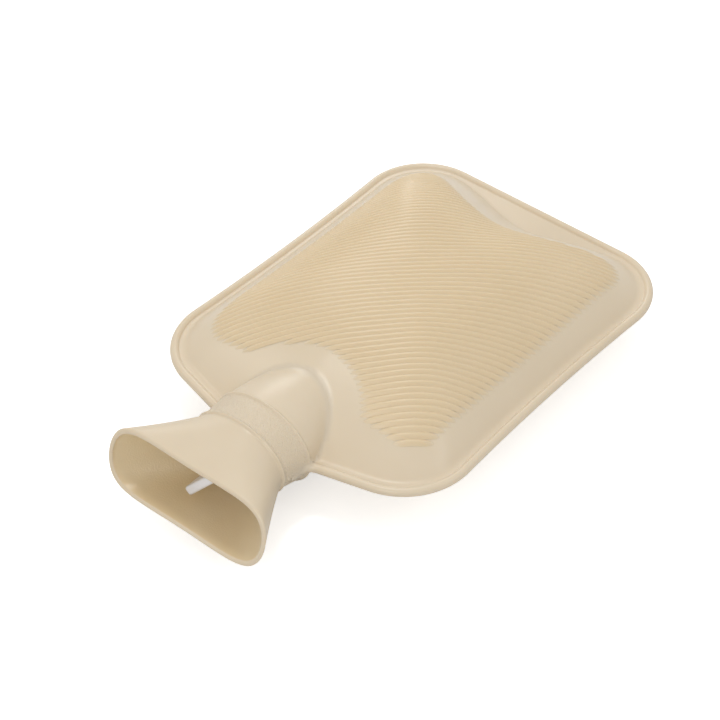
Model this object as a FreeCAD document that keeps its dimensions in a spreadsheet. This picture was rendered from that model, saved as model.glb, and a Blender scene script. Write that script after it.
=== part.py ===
import FreeCAD, Part
import bisect
import math
import os
import Sketcher
from FreeCAD import Placement, Rotation, Vector

# A two-litre rubber hot water bottle, lying filled on its back.
# X runs across the bag, +Y towards its far end, +Z up.
# The mouth of the funnel is at -Y and the underside rests on Z = 0.

doc = FreeCAD.newDocument("HotWaterBottle")
sheet = doc.addObject("Spreadsheet::Sheet", "Sizes")

sizes = {
    # Outline of the bag, measured to the outside of its bead
    "seamHeight": 28,
    "bagWidth": 200,
    "bagLength": 259.5,
    "shoulderAngle": 14.5,
    "shoulderRadius": 43,
    "farRadius": 40,
    "sideBow": 4.2,
    # Rim of the bag
    "beadDiameter": 5.2,
    "webThickness": 3.2,
    "hangingWeb": 14,
    "hangingSpan": 62,
    # Swell of the two faces above and below the seam
    "domeRise": 35,
    "domeDrop": 36,
    "domeFullness": 2.8,
    "domeCrest": 121,
    "footGap": 1.7,
    "wall": 2.2,
    # Ribbed field on the upper face
    "ribPitch": 3.45,
    "ribHeight": 1.1,
    "ribAngle": 43.5,
    "ribRoot": 0.25,
    "fieldWidth": 153,
    "fieldFar": 21,
    "fieldNear": 42,
    "fieldRadius": 18,
    "fieldDip": 23,
    "dipRadius": 84,
    "lobeRadius": 10,
    "hoodClear": 47.5,
    "hoodClearInset": 5,
    # Neck, with a hood that runs out over the shoulder; its axis rises from the seam to the funnel
    "neckWidth": 63.2,
    "neckHeight": 49.2,
    "throatWidth": 59.8,
    "throatHeight": 44.2,
    "collarInset": 10.2,
    "collarLength": 18.5,
    "hoodLength": 52,
    "hoodRise": 2,
    "neckRise": 4.4,
    "ridgeHeight": 0.9,
    "ridgeWidth": 2.4,
    # Funnel
    "mouthWidth": 109,
    "mouthHeight": 36.4,
    "mouthTilt": 10.8,
    "funnelLength": 42.6,
    "funnelWall": 2.6,
    "floorDepth": 7,
    "floorRim": 0.6,
    # Insert moulded into the neck
    "boreRadius": 13.3,
    "insertRadius": 16.5,
    "insertLength": 24,
    "flangeRadius": 18,
    "flangeThick": 2,
    "barbRadius": 17.8,
    "barbLength": 4,
    "barbDepth": 10,
    "ledgeRadius": 7.9,
    "ledgeThick": 2.2,
    "mouldGap": 0.05,
    # Stopper
    "screwGap": 0.3,
    "capRadius": 15.5,
    "capThick": 3.5,
    "capGap": 0.3,
    "wingWidth": 28,
    "wingThick": 5.2,
    "wingLength": 20,
    "wingCorner": 1.5,
    "wingTurn": 50,
    "noseRadius": 5.6,
    "lipRadius": 7.2,
    "lipThick": 1.4,
    # Washer
    "washerRadius": 10.6,
    "washerBore": 5.9,
    "washerThick": 3,
    "washerGap": 0.25,
}

for row, (alias, value) in enumerate(sizes.items(), start=1):
    sheet.set(f"A{row}", alias)
    sheet.set(f"B{row}", str(value))
    sheet.setAlias(f"B{row}", alias)
doc.recompute()


def size(alias):
    return float(sheet.get(alias))


def feature(name, shape):
    item = doc.addObject("Part::Feature", name)
    item.Shape = shape
    return item


# Stations along the length, set so that the whole bottle is centred over the origin
seamHeight = size("seamHeight")
mouthTilt = math.radians(size("mouthTilt"))
neckLength = size("collarLength") - size("collarInset") + size("funnelLength")
lipReach = size("mouthHeight") / 2 * math.tan(mouthTilt)
farY = (size("bagLength") + neckLength + lipReach) / 2
shoulderY = farY - size("bagLength")
collarInnerY = shoulderY + size("collarInset")
collarOuterY = collarInnerY - size("collarLength")
mouthY = collarOuterY - size("funnelLength")
floorY = collarOuterY - size("floorDepth")
insertEndY = floorY + size("insertLength")

# Outline of the bag: shoulder line, shoulder arc, hollowed side, far arc, far edge
halfWidth = size("bagWidth") / 2
slope = math.radians(size("shoulderAngle"))
along = Vector(math.cos(slope), math.sin(slope), 0)
inward = Vector(-math.sin(slope), math.cos(slope), 0)
cornerY = shoulderY + halfWidth * math.tan(slope)
sideChord = farY - cornerY
sideBow = size("sideBow")
sideRadius = (sideChord ** 2 / 4 + sideBow ** 2) / (2 * sideBow)
sideCentre = Vector(halfWidth - sideBow + sideRadius, (farY + cornerY) / 2, 0)
farRadius = size("farRadius")
shoulderRadius = size("shoulderRadius")


def farArcCentre():
    y = farY - farRadius
    reach = sideRadius + farRadius
    x = sideCentre.x - math.sqrt(reach ** 2 - (y - sideCentre.y) ** 2)
    return Vector(x, y, 0)


def shoulderArcCentre():
    start = Vector(0, shoulderY, 0) + inward * shoulderRadius
    reach = sideRadius + shoulderRadius
    gap = start - sideCentre
    middle = -gap.dot(along)
    return start + along * (middle - math.sqrt(middle ** 2 - gap.dot(gap) + reach ** 2))


def halfOutline(inset, z):
    """Right half of the outline from the shoulder's middle to the far edge's, moved inward."""
    farCentre = farArcCentre()
    nearCentre = shoulderArcCentre()
    lift = Vector(0, 0, z)
    farEnd = farCentre + Vector(0, farRadius - inset, 0)
    farSide = farCentre + (sideCentre - farCentre).normalize() * (farRadius - inset)
    nearSide = nearCentre + (sideCentre - nearCentre).normalize() * (shoulderRadius - inset)
    nearEnd = nearCentre - inward * (shoulderRadius - inset)
    sideMiddle = sideCentre - Vector(sideRadius + inset, 0, 0)
    nearDiagonal = (nearSide + nearEnd) / 2 - nearCentre
    nearMiddle = nearCentre + nearDiagonal.normalize() * (shoulderRadius - inset)
    farDiagonal = (farSide + farEnd) / 2 - farCentre
    farMiddle = farCentre + farDiagonal.normalize() * (farRadius - inset)
    start = Vector(0, shoulderY + inset / math.cos(slope), 0)
    end = Vector(0, farY - inset, 0)
    edges = [
        Part.LineSegment(start + lift, nearEnd + lift),
        Part.Arc(nearEnd + lift, nearMiddle + lift, nearSide + lift),
        Part.Arc(nearSide + lift, sideMiddle + lift, farSide + lift),
        Part.Arc(farSide + lift, farMiddle + lift, farEnd + lift),
        Part.LineSegment(farEnd + lift, end + lift),
    ]
    return [edge.toShape() for edge in edges]


def outlineWire(inset, z):
    right = Part.Wire(halfOutline(inset, z))
    left = right.mirror(Vector(0, 0, 0), Vector(1, 0, 0))
    return Part.Wire(Part.__sortEdges__(right.Edges + left.Edges))


# Swell of the bag: full in the middle and running down to its foot, which follows the outline
beadDiameter = size("beadDiameter")
footInset = beadDiameter + size("footGap")
crestY = farY - size("domeCrest")


def footPoints(count, straightEnd=False):
    """Points along the swell's foot, set back at the far edge where the web is left for hanging."""
    points = []
    for point in outlineWire(footInset, 0).discretize(count + 1)[:-1]:
        if point.y > crestY and not straightEnd:
            hollow = max(0, 1 - (point.x / size("hangingSpan")) ** 2) ** 2
            point.y -= size("hangingWeb") * hollow
        points.append(point)
    return points


def bearing(x, y):
    """Direction and distance of a point from the swell's crest, seen from above."""
    return math.atan2(y - crestY, x), math.hypot(x, y - crestY)


footTable = sorted(bearing(point.x, point.y) for point in footPoints(720))
footAngles = [angle for angle, reach in footTable]


def swell(x, y):
    """Height of a face as a share of its rise: 1 at the crest and 0 at the foot."""
    angle, distance = bearing(x, y)
    i = bisect.bisect(footAngles, angle) % len(footTable)
    before, after = footTable[i - 1], footTable[i]
    gap = (after[0] - before[0]) % (2 * math.pi)
    part = (angle - before[0]) % (2 * math.pi) / gap
    reach = before[1] + (after[1] - before[1]) * part
    return 1 - (distance / reach) ** size("domeFullness")


# Ground that the swell surfaces cover, a little more than the outline
edgeX = halfWidth - sideBow + 1
nearEdgeY = shoulderY - 4
farEdgeY = farY - 2
columnSpans = 12
rowSpans = 14


def spread(low, high, spans):
    """Even places for the poles of a clamped cubic surface."""
    step = (high - low) / spans
    places = [low, low + step / 3]
    places += [low + step * i for i in range(1, spans)]
    return places + [high - step / 3, high]


def swellPatch(rise):
    """One smooth cubic surface whose poles follow the swell."""
    rows = []
    for x in spread(-edgeX, edgeX, columnSpans):
        line = []
        for y in spread(nearEdgeY, farEdgeY, rowSpans):
            line.append(Vector(x, y, seamHeight + rise * swell(x, y)))
        rows.append(line)
    patch = Part.BSplineSurface()
    ends = (4, 4)
    uMults = [ends[0]] + [1] * (columnSpans - 1) + [ends[1]]
    vMults = [ends[0]] + [1] * (rowSpans - 1) + [ends[1]]
    uKnots = [i / columnSpans for i in range(columnSpans + 1)]
    vKnots = [i / rowSpans for i in range(rowSpans + 1)]
    patch.buildFromPolesMultsKnots(rows, uMults, vMults, uKnots, vKnots, False, False, 3, 3)
    return patch


def patchHeight(patch, x, y):
    """Height of a patch over a point, carried on straight beyond its edges."""
    nearX = min(max(x, -edgeX), edgeX)
    nearY = min(max(y, nearEdgeY), farEdgeY)

    def at(px, py):
        u = (px + edgeX) / (2 * edgeX)
        v = (py - nearEdgeY) / (farEdgeY - nearEdgeY)
        return patch.value(u, v).z

    edge = at(nearX, nearY)
    if nearX == x and nearY == y:
        return edge
    return 2 * edge - at(2 * nearX - x, 2 * nearY - y)


def facetSolid(rings):
    """Closed solid of flat facets through rings that have the same number of points."""
    count = len(rings[0])
    faces = []
    for ring in (rings[0], rings[-1]):
        faces.append(Part.Face(Part.makePolygon(ring + ring[:1])))
    for lower, upper in zip(rings, rings[1:]):
        for i in range(count):
            k = (i + 1) % count
            for corners in ((lower[i], lower[k], upper[k]), (lower[i], upper[k], upper[i])):
                faces.append(Part.Face(Part.makePolygon(list(corners) + [corners[0]])))
    shell = Part.makeShell(faces)
    shell.sewShape()
    solid = Part.makeSolid(shell)
    if solid.Volume < 0:
        solid.reverse()
    return solid


def levelRing(share, z, inset, count, straightEnd=False):
    """Points round the line where a swell stands at a given share of its rise, drawn at height z."""
    reach = (1 - share) ** (1 / size("domeFullness"))
    points = []
    for foot in footPoints(count, straightEnd):
        angle, distance = bearing(foot.x, foot.y)
        distance = distance * reach - inset
        points.append(Vector(distance * math.cos(angle), crestY + distance * math.sin(angle), z))
    return points


def swellTop():
    """Upper half of the bag, smooth over its whole face."""
    depth = size("domeRise") * 4
    upper = swellPatch(size("domeRise")).toShape().extrude(Vector(0, 0, -depth))
    low = seamHeight - size("webThickness") / 4
    width = 3 * halfWidth
    length = 3 * farY
    return upper.common(Part.makeBox(width, length, depth, Vector(-width / 2, -length / 2, low)))


# How finely the hidden, flat-sided surfaces are divided
baseCount = 40
chamberCount = 32
passageCount = 28
funnelCount = 36
baseShares = (0, 0.2, 0.4, 0.6)
chamberLowShares = (0.5, 0.25)
chamberHighShares = (0, 0.25, 0.5, 0.72, 0.88, 0.97)


def swellBase():
    """Lower half of the bag, down to the flat on which it rests."""
    drop = size("domeDrop")
    rings = [levelRing(0, seamHeight + size("webThickness") / 4, 0, baseCount)]
    for share in baseShares + (seamHeight / drop,):
        rings.append(levelRing(share, seamHeight - drop * share, 0, baseCount))
    return facetSolid(rings)


def chamber():
    """Hollow that holds the water, inside the bag by its wall, with its far end left straight."""
    wall = size("wall")
    sideWall = wall * math.sqrt(2)
    endWall = sideWall + size("hangingWeb")
    drop = size("domeDrop") - wall
    rise = size("domeRise") - wall
    rings = []
    for share in ((seamHeight - wall) / drop,) + chamberLowShares:
        rings.append(levelRing(share, seamHeight - drop * share, sideWall, chamberCount, True))
    for share in chamberHighShares:
        rings.append(levelRing(share, seamHeight + rise * share, sideWall, chamberCount, True))
    for ring in rings:
        for point in ring:
            point.y = min(point.y, farY - footInset - endWall)
    return facetSolid(rings)


# Sections of the neck and funnel, each at its own place along the axis
# One quarter of the poles that lead a section, as shares of its half width and half height
ovalPoles = ((1.047, 0), (0.907, 0.524), (0.524, 0.907), (0, 1.047))
mouthPoles = ((1.074, 0), (0.853, 0.876), (0.863, 1.174), (0, 0.912))


def section(y, wide, high, rise, squareness=0, tilt=0):
    """Smooth closed curve led by twelve poles: an oval at squareness 0, the mouth's form at 1."""
    quarter = []
    for oval, mouth in zip(ovalPoles, mouthPoles):
        quarter.append([a + (b - a) * squareness for a, b in zip(oval, mouth)])
    shares = list(quarter)
    shares += [(-x, z) for x, z in quarter[2::-1]]
    shares += [(-x, -z) for x, z in quarter[1:]]
    shares += [(x, -z) for x, z in quarter[2:0:-1]]
    points = []
    for across, up in shares:
        z = up * high / 2
        points.append(Vector(across * wide / 2, y + z * math.tan(tilt), seamHeight + rise + z))
    curve = Part.BSplineCurve()
    curve.buildFromPoles(points, True, 3)
    return Part.Wire([curve.toShape()])


def sectionRing(wire, count):
    """Points spaced evenly along a closed section."""
    return wire.discretize(count + 1)[:-1]


neckRise = size("neckRise")
hoodRise = size("hoodRise")


def funnelInner():
    """Hollow of the funnel, which runs out past the mouth and ends at a floor round the insert."""
    walls = 2 * size("funnelWall")
    wide = size("mouthWidth") - walls
    high = size("mouthHeight") - walls
    bottom = 2 * (size("flangeRadius") + size("floorRim"))
    past = size("funnelWall")
    sections = [
        section(floorY, bottom, bottom, neckRise),
        section((floorY + mouthY) / 2, (bottom + wide) / 2, (bottom + high) / 2, neckRise, 0.5, mouthTilt / 2),
        section(mouthY, wide, high, neckRise, 1, mouthTilt),
        section(mouthY - past, wide, high, neckRise, 1, mouthTilt),
    ]
    return facetSolid([sectionRing(wire, funnelCount) for wire in sections])


# A ridge's profile, as shares of its half width and height, and where the hood's sections lie along it
ridgeProfile = ((-1, 0), (-0.35, 1), (0.35, 1), (1, 0))
hoodShares = (0.22, 0.4, 0.56, 0.7, 0.82, 0.91, 0.97)


def neckSkin():
    """Funnel, oval collar with a fine ridge round each end, and the hood that sinks into the swell."""
    half = size("ridgeWidth") / 2
    wide = size("neckWidth")
    high = size("neckHeight")
    sections = [section(mouthY, size("mouthWidth"), size("mouthHeight"), neckRise, 1, mouthTilt)]
    throat = (collarOuterY, size("throatWidth"), size("throatHeight"), neckRise)
    for y, across, up, rise in (throat, (collarInnerY, wide, high, hoodRise)):
        for step, share in ridgeProfile:
            lift = 2 * share * size("ridgeHeight")
            sections.append(section(y + half * step, across + lift, up + lift, rise))
    for share in hoodShares:
        narrowed = math.sqrt(1 - share ** 2)
        y = collarInnerY + size("hoodLength") * share
        sections.append(section(y, wide * narrowed, high * narrowed, hoodRise * (1 - share)))
    return Part.makeLoft(sections, True, True)


def neckPassage():
    """Passage behind the insert, which widens into the water chamber."""
    walls = 4 * size("funnelWall")
    wide = size("neckWidth") - walls
    high = size("neckHeight") - walls
    hood = size("hoodLength")
    start = 2 * size("insertRadius") - size("wall")
    overlap = size("ledgeThick") / 2
    sections = [
        section(insertEndY - overlap, start, start, neckRise),
        section(insertEndY + hood * 0.2, wide * 0.92, high * 0.9, hoodRise),
        section(insertEndY + hood * 0.6, wide * 0.85, high * 0.7, 0),
    ]
    return facetSolid([sectionRing(wire, passageCount) for wire in sections])


beadSides = 8


def roundedSection(radius, centre, normal):
    """Flat-sided stand-in for a round section, of the same width, square to the normal."""
    side = Vector(0, 0, 1).cross(normal).normalize()
    points = []
    for i in range(beadSides + 1):
        angle = 2 * math.pi * (i + 0.5) / beadSides
        reach = radius / math.cos(math.pi / beadSides)
        spot = side * math.cos(angle) + Vector(0, 0, 1) * math.sin(angle)
        points.append(centre + spot * reach)
    return Part.makePolygon(points)


def bead():
    """Round bead along the edge of the bag, its two ends buried in the neck."""
    radius = beadDiameter / 2
    right = Part.Wire(halfOutline(radius, seamHeight)[1:])
    left = right.mirror(Vector(0, 0, 0), Vector(1, 0, 0))
    first = right.Vertexes[0].Point
    start = Vector(size("neckWidth") / 2 - beadDiameter, 0, seamHeight)
    start.y = first.y - (first.x - start.x) * math.tan(slope)
    other = Vector(-start.x, start.y, start.z)
    lines = [Part.makeLine(start, first), Part.makeLine(other, Vector(-first.x, first.y, first.z))]
    spine = Part.Wire(Part.__sortEdges__(right.Edges + left.Edges + lines))
    profile = roundedSection(radius, start, along)
    return spine.makePipeShell([profile], True, False)


def web():
    thick = size("webThickness")
    face = Part.Face(outlineWire(beadDiameter / 2, seamHeight - thick / 2))
    return face.extrude(Vector(0, 0, thick))


# Ribbed field: its outline, and the places of its ribs
fieldHalf = size("fieldWidth") / 2
fieldNearY = shoulderY + size("fieldNear")
fieldFarY = farY - size("fieldFar")
fieldReach = math.hypot(fieldHalf, (fieldFarY - fieldNearY) / 2)
ribStations = 13
padUnderSteps = 24


def fieldPrism():
    """Prism over the ribbed field, round the hood at one end and the hanging web at the other."""
    low = seamHeight + size("webThickness") / 2
    tall = size("domeRise") * 3
    corner = Vector(-fieldHalf, fieldNearY, low)
    prism = Part.makeBox(2 * fieldHalf, fieldFarY - fieldNearY, tall, corner)
    uprights = [edge for edge in prism.Edges if edge.BoundBox.ZLength > tall / 2]
    prism = prism.makeFillet(size("fieldRadius"), uprights)
    dipY = fieldFarY - size("fieldDip") + size("dipRadius")
    ringY = collarInnerY + size("hoodClearInset")
    for radius, y in ((size("dipRadius"), dipY), (size("hoodClear"), ringY)):
        prism = prism.cut(Part.makeCylinder(radius, 3 * tall, Vector(0, y, low - tall)))
    lobes = []
    for edge in prism.Edges:
        box = edge.BoundBox
        onFarEdge = abs(box.YMax - fieldFarY) < size("ribRoot")
        inward = abs(box.XMax) < fieldHalf - size("fieldRadius") / 2
        atArcEnd = abs(math.hypot(box.XMax, box.YMax - dipY) - size("dipRadius")) < size("ribRoot")
        if box.ZLength > tall / 2 and onFarEdge and inward and atArcEnd:
            lobes.append(edge)
    return prism.makeFillet(size("lobeRadius"), lobes)


def ribPad():
    """Ribs that run slantwise over the swell, as one corrugated pad sunk into the upper face."""
    angle = math.radians(size("ribAngle"))
    forward = Vector(math.cos(angle), math.sin(angle), 0)
    across = Vector(math.sin(angle), -math.cos(angle), 0)
    middle = Vector(0, (fieldNearY + fieldFarY) / 2, 0)
    pitch = size("ribPitch")
    count = math.ceil(2 * fieldReach / pitch)
    start = -count * pitch / 2
    skin = swellPatch(size("domeRise"))

    def lifted(t, s, extra):
        spot = middle + forward * t + across * s
        return Vector(spot.x, spot.y, patchHeight(skin, spot.x, spot.y) + extra)

    wires = []
    for i in range(ribStations):
        t = fieldReach * (2 * i / (ribStations - 1) - 1)
        points = []
        for k in range(count):
            s = start + k * pitch
            points.append(lifted(t, s, size("ribRoot")))
            points.append(lifted(t, s + pitch / 2, size("ribHeight")))
        points.append(lifted(t, -start, size("ribRoot")))
        for k in range(padUnderSteps, -1, -1):
            s = start * (1 - 2 * k / padUnderSteps)
            points.append(lifted(t, s, -size("wall") / 2))
        wires.append(Part.makePolygon(points + points[:1]))
    return Part.makeLoft(wires, True, False)


# The bag as one moulding: swell, rim, neck and funnel, with the hollows cut out
def fuseInTurn(name, items):
    """Chain of unions, one piece at a time."""
    base = items[0]
    for i, item in enumerate(items[1:], start=1):
        union = doc.addObject("Part::Fuse", f"{name}{i}")
        union.Base = base
        union.Tool = item
        base = union
    return base


solidBag = fuseInTurn("BagUnion", [
    feature("SwellTop", swellTop()),
    feature("Ribs", ribPad().common(fieldPrism())),
    feature("SwellBase", swellBase()),
    feature("Web", web()),
    feature("Bead", bead()),
    feature("NeckSkin", neckSkin()),
])

outward = Rotation(Vector(1, 0, 0), 90)
axisHeight = seamHeight + neckRise
neckPlace = Placement(Vector(0, floorY, axisHeight), outward)


def bore(name, radius, depth, length):
    """Round hole along the neck, its outer end a depth below the funnel's floor."""
    item = doc.addObject("Part::Cylinder", name)
    item.setExpression("Radius", radius)
    item.setExpression("Height", length)
    below = sheet.evalExpression(f"{depth} + {length}")
    item.Placement = Placement(Vector(0, floorY + below, axisHeight), outward)
    return item


seat = [
    bore("InsertBore", "Sizes.insertRadius + Sizes.mouldGap", "0", "Sizes.insertLength + Sizes.mouldGap"),
    bore("FlangePocket", "Sizes.flangeRadius + Sizes.mouldGap", "0", "Sizes.flangeThick + Sizes.mouldGap"),
    bore(
        "BarbGroove",
        "Sizes.barbRadius + Sizes.mouldGap",
        "Sizes.barbDepth - Sizes.mouldGap",
        "Sizes.barbLength + 2 * Sizes.mouldGap",
    ),
]
hollows = [
    feature("Chamber", chamber()),
    feature("NeckPassage", neckPassage()),
    feature("FunnelHollow", funnelInner()),
]
bag = doc.addObject("Part::Cut", "Bag")
bag.Base = solidBag
bag.Tool = fuseInTurn("HollowUnion", hollows + seat)
bag.Label = "rubber_bag"
doc.recompute()


# Pieces turned about the neck's axis: local Z points out of the mouth, 0 at the funnel's floor
def originPlane(body, role):
    for item in body.Origin.OriginFeatures:
        if item.Role == role:
            return item


def newSketch(body, name, role="XZ_Plane"):
    sketch = body.newObject("Sketcher::SketchObject", name)
    sketch.AttachmentSupport = (originPlane(body, role), [""])
    sketch.MapMode = "FlatFace"
    return sketch


def polygonSketch(body, name, corners):
    """Closed outline whose corners are tied to the sheet by an expression for each coordinate."""
    sketch = newSketch(body, name)
    points = []
    for across, up in corners:
        points.append(Vector(sheet.evalExpression(across), sheet.evalExpression(up), 0))
    for i, point in enumerate(points):
        sketch.addGeometry(Part.LineSegment(point, points[(i + 1) % len(points)]), False)
    for i in range(len(points)):
        sketch.addConstraint(Sketcher.Constraint("Coincident", i, 2, (i + 1) % len(points), 1))
    for i, (across, up) in enumerate(corners):
        if across == "0":
            sketch.addConstraint(Sketcher.Constraint("PointOnObject", i, 1, -2))
        else:
            k = sketch.addConstraint(Sketcher.Constraint("DistanceX", -1, 1, i, 1, points[i].x))
            sketch.setExpression(f"Constraints[{k}]", across)
        if up == "0":
            sketch.addConstraint(Sketcher.Constraint("PointOnObject", i, 1, -1))
        else:
            k = sketch.addConstraint(Sketcher.Constraint("DistanceY", -1, 1, i, 1, points[i].y))
            sketch.setExpression(f"Constraints[{k}]", up)
    return sketch


def revolve(body, name, corners):
    sketch = polygonSketch(body, name + "Profile", corners)
    solid = body.newObject("PartDesign::Revolution", name)
    solid.Profile = sketch
    solid.ReferenceAxis = (sketch, ["V_Axis"])
    solid.Angle = 360


turnedPlace = Placement(neckPlace.Base, outward.multiply(Rotation(Vector(0, 0, 1), size("wingTurn"))))

# Threaded insert, moulded into the neck
insert = doc.addObject("PartDesign::Body", "Insert")
insert.Label = "threaded_insert"
insert.Placement = turnedPlace
revolve(insert, "InsertTurned", [
    ("Sizes.boreRadius", "0"),
    ("Sizes.flangeRadius", "0"),
    ("Sizes.flangeRadius", "-Sizes.flangeThick"),
    ("Sizes.insertRadius", "-Sizes.flangeThick"),
    ("Sizes.insertRadius", "-Sizes.barbDepth"),
    ("Sizes.barbRadius", "-Sizes.barbDepth"),
    ("Sizes.barbRadius", "-Sizes.barbDepth - Sizes.barbLength"),
    ("Sizes.insertRadius", "-Sizes.barbDepth - Sizes.barbLength"),
    ("Sizes.insertRadius", "-Sizes.insertLength"),
    ("Sizes.ledgeRadius", "-Sizes.insertLength"),
    ("Sizes.ledgeRadius", "Sizes.ledgeThick - Sizes.insertLength"),
    ("Sizes.boreRadius", "Sizes.ledgeThick - Sizes.insertLength"),
])

# Screw stopper: wing, cap, threaded stem and a nose that carries the washer
stopper = doc.addObject("PartDesign::Body", "Stopper")
stopper.Label = "screw_stopper"
stopper.Placement = turnedPlace
stemEnd = "Sizes.ledgeThick + 2 * Sizes.washerGap + Sizes.washerThick - Sizes.insertLength"
noseEnd = "Sizes.ledgeThick - Sizes.insertLength"
stemRadius = "Sizes.boreRadius - Sizes.screwGap"
revolve(stopper, "StopperTurned", [
    ("0", "Sizes.capGap + Sizes.capThick"),
    ("0", f"{noseEnd} - Sizes.lipThick"),
    ("Sizes.noseRadius", f"{noseEnd} - Sizes.lipThick"),
    ("Sizes.lipRadius", f"{noseEnd} - Sizes.lipThick / 2"),
    ("Sizes.lipRadius", noseEnd),
    ("Sizes.noseRadius", noseEnd),
    ("Sizes.noseRadius", stemEnd),
    (stemRadius, stemEnd),
    (stemRadius, "Sizes.capGap"),
    ("Sizes.capRadius", "Sizes.capGap"),
    ("Sizes.capRadius", "Sizes.capGap + Sizes.capThick / 2"),
    ("Sizes.capRadius - Sizes.capThick / 2", "Sizes.capGap + Sizes.capThick"),
])
wingEnd = "Sizes.capGap + Sizes.capThick + Sizes.wingLength"
wingSketch = polygonSketch(stopper, "WingProfile", [
    ("Sizes.wingWidth / 2", "Sizes.capGap + Sizes.capThick / 2"),
    ("Sizes.wingWidth / 2", f"{wingEnd} - Sizes.wingCorner"),
    ("Sizes.wingWidth / 2 - Sizes.wingCorner", wingEnd),
    ("Sizes.wingCorner - Sizes.wingWidth / 2", wingEnd),
    ("-Sizes.wingWidth / 2", f"{wingEnd} - Sizes.wingCorner"),
    ("-Sizes.wingWidth / 2", "Sizes.capGap + Sizes.capThick / 2"),
])
doc.recompute()
wing = stopper.newObject("PartDesign::Pad", "Wing")
wing.Profile = wingSketch
wing.setExpression("Length", "Sizes.wingThick")
wing.Midplane = True
doc.recompute()

# Sealing washer, held on the nose by its lip
washer = doc.addObject("PartDesign::Body", "Washer")
washer.Label = "sealing_washer"
washer.Placement = turnedPlace
washerLow = "Sizes.ledgeThick + Sizes.washerGap - Sizes.insertLength"
revolve(washer, "WasherTurned", [
    ("Sizes.washerBore", washerLow),
    ("Sizes.washerRadius", washerLow),
    ("Sizes.washerRadius", f"{washerLow} + Sizes.washerThick"),
    ("Sizes.washerBore", f"{washerLow} + Sizes.washerThick"),
])
doc.recompute()

pieces = [bag, insert, stopper, washer]
for item in doc.Objects:
    if "Invalid" in item.State or "Error" in item.State:
        raise RuntimeError(f"{item.Name} failed: {item.State}")
for piece in pieces:
    if piece.Shape.isNull() or not piece.Shape.isValid():
        raise RuntimeError(f"{piece.Label} has no valid shape")

os.makedirs("parts", exist_ok=True)
for piece in pieces:
    shape = piece.Shape
    shape.exportStep(f"parts/{piece.Label}.step")
    box = shape.BoundBox
    spans = [round(value, 2) for value in (box.XMin, box.XMax, box.YMin, box.YMax, box.ZMin, box.ZMax)]
    print(piece.Label, len(shape.Solids), "solids", round(shape.Volume), "mm3", spans)
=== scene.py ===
import math

import bmesh
import bpy
import numpy as np
from mathutils import Matrix, Vector


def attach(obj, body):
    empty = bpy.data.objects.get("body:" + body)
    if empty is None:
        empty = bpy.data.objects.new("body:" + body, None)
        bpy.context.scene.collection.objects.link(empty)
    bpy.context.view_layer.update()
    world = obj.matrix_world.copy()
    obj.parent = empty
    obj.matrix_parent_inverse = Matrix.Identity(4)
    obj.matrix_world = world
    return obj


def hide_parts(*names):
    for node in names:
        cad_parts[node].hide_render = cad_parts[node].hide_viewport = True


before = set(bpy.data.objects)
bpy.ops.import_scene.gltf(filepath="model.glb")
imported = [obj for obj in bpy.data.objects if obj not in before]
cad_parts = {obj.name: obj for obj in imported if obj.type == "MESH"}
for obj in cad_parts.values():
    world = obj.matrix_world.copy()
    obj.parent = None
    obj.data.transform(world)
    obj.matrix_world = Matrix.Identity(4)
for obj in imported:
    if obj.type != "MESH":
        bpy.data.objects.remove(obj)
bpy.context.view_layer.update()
mm = 0.001


# Camera, first of all, at the height and turn from which the photograph was taken
cameraSet = {
    "azimuth": 39.2, "elevation": 43.1, "roll": 0.7, "distance": 1.2182,
    "aim": (0.0, -0.00886, 0.014), "lens": 109.7, "shiftX": -0.00625, "shiftY": 0.0224,
    "sensor": 36, "clip": (0.05, 20),
}


def makeCamera():
    azimuth = math.radians(cameraSet["azimuth"])
    elevation = math.radians(cameraSet["elevation"])
    roll = math.radians(cameraSet["roll"])
    back = Vector((
        math.sin(azimuth) * math.cos(elevation),
        -math.cos(azimuth) * math.cos(elevation),
        math.sin(elevation),
    ))
    flatRight = (-back).cross(Vector((0, 0, 1))).normalized()
    flatUp = flatRight.cross(-back)
    right = flatRight * math.cos(roll) + flatUp * math.sin(roll)
    up = flatUp * math.cos(roll) - flatRight * math.sin(roll)
    data = bpy.data.cameras.new("studioCamera")
    camera = bpy.data.objects.new("studioCamera", data)
    bpy.context.scene.collection.objects.link(camera)
    turn = Matrix((right, up, back)).transposed().to_4x4()
    place = back * cameraSet["distance"] + Vector(cameraSet["aim"])
    camera.matrix_world = Matrix.Translation(place) @ turn
    data.sensor_width = cameraSet["sensor"]
    data.lens = cameraSet["lens"]
    data.shift_x = cameraSet["shiftX"]
    data.shift_y = cameraSet["shiftY"]
    data.clip_start, data.clip_end = cameraSet["clip"]
    bpy.context.scene.camera = camera


makeCamera()
print("camera set")


# Share of the way from low to high, with soft ends
def smoothStep(low, high, value):
    t = np.clip((value - low) / (high - low), 0, 1)
    return t * t * (3 - 2 * t)


# Meeting of two distances with a fillet of about the blend's size
def smoothUnion(a, b, blend):
    h = np.maximum(blend - np.abs(a - b), 0) / blend
    return np.minimum(a, b) - h * h * blend / 4


def meshFrom(name, points, faces):
    mesh = bpy.data.meshes.new(name)
    corners = [tuple(p) for p in np.asarray(points) * mm]
    mesh.from_pydata(corners, [], [tuple(int(i) for i in f) for f in faces])
    mesh.validate()
    return mesh


def addPiece(name, mesh):
    piece = bpy.data.objects.new(name, mesh)
    bpy.context.scene.collection.objects.link(piece)
    return piece


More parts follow.
